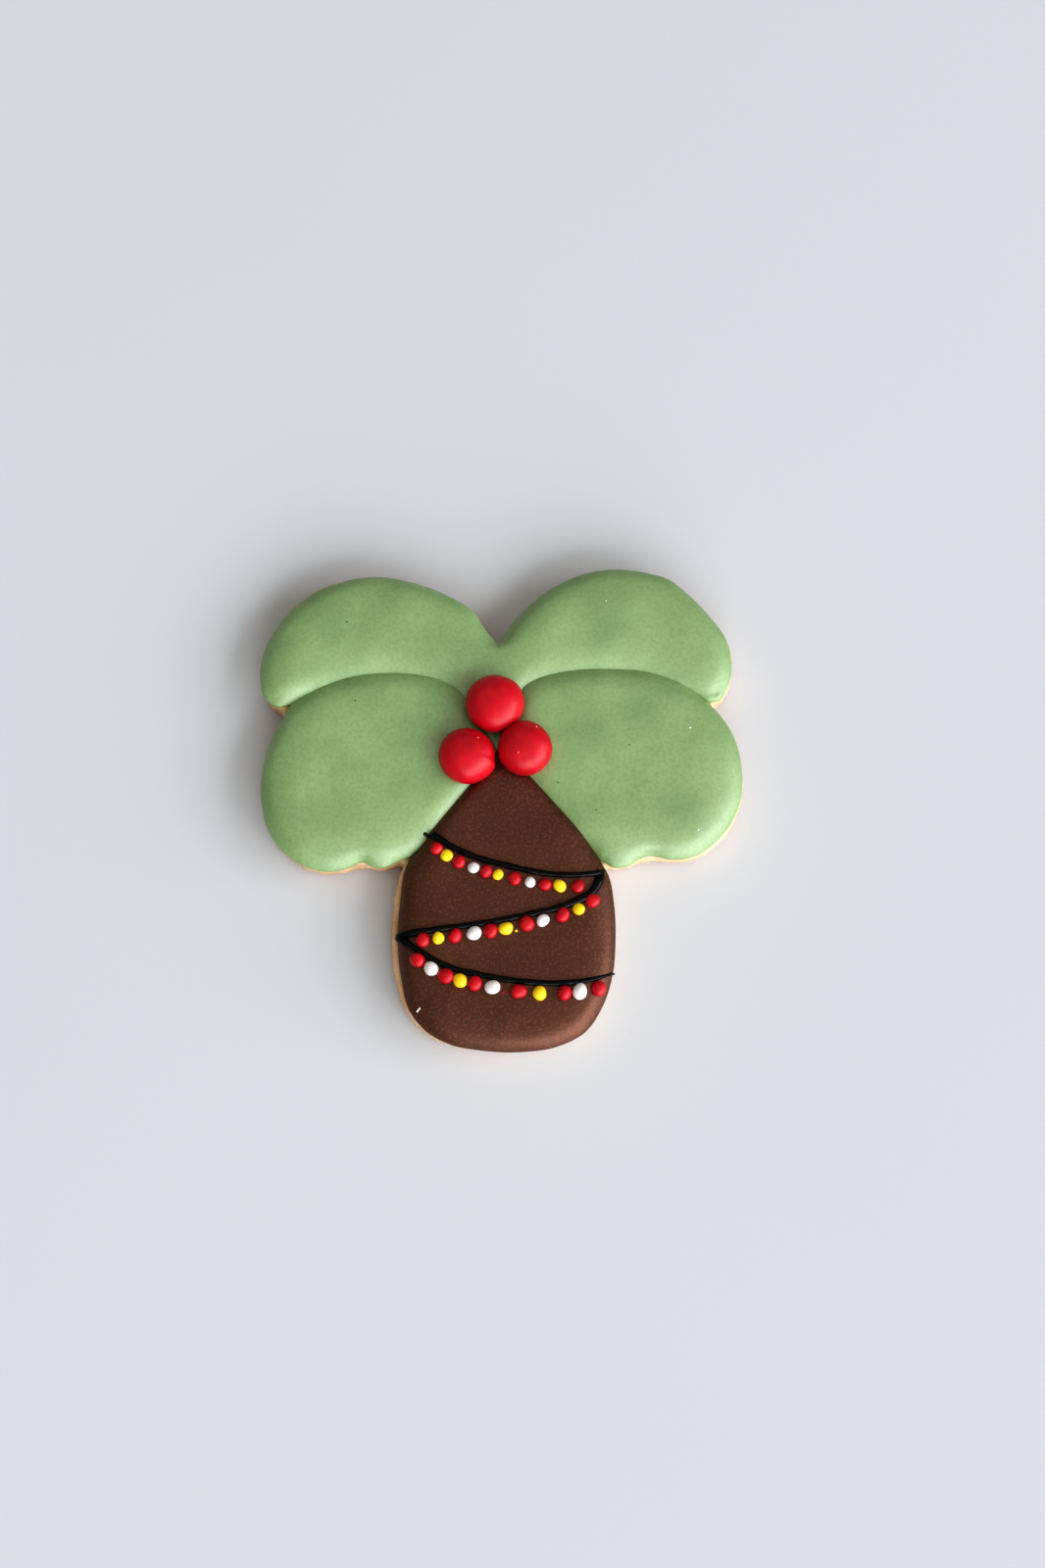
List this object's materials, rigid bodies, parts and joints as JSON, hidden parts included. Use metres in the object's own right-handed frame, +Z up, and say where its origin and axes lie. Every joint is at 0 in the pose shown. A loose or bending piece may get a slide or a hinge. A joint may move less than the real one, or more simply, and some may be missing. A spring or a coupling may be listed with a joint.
{
  "type": "christmas cookie",
  "caption": "Iced Christmas biscuit shaped like a small tropical tree: green flooded fronds, brown trunk, red sugar berries and a piped garland of sugar pearls.",
  "frame": {"origin": "centre of the outline's bounding box, at the flat underside of the biscuit", "axes": "+Z up out of the iced face, through the thickness; +Y from the foot of the trunk toward the crown; +X to the right of the iced face"},
  "size_m": [0.0902, 0.0915, 0.0149],
  "materials": {
    "biscuit": "matte baked biscuit",
    "green_icing": "satin dried royal icing",
    "brown_icing": "satin dried royal icing",
    "red_sugar": "soft gloss sugar",
    "black_icing": "soft gloss piped icing",
    "yellow_sugar": "soft gloss sugar",
    "white_sugar": "soft gloss sugar"
  },
  "bodies": {
    "root": {"biscuit": "biscuit", "icing_upper_fronds": "green_icing", "icing_lower_left": "green_icing", "icing_lower_right": "green_icing", "icing_trunk": "brown_icing", "berry_top": "red_sugar", "berry_left": "red_sugar", "berry_right": "red_sugar"}
  },
  "joints": []
}
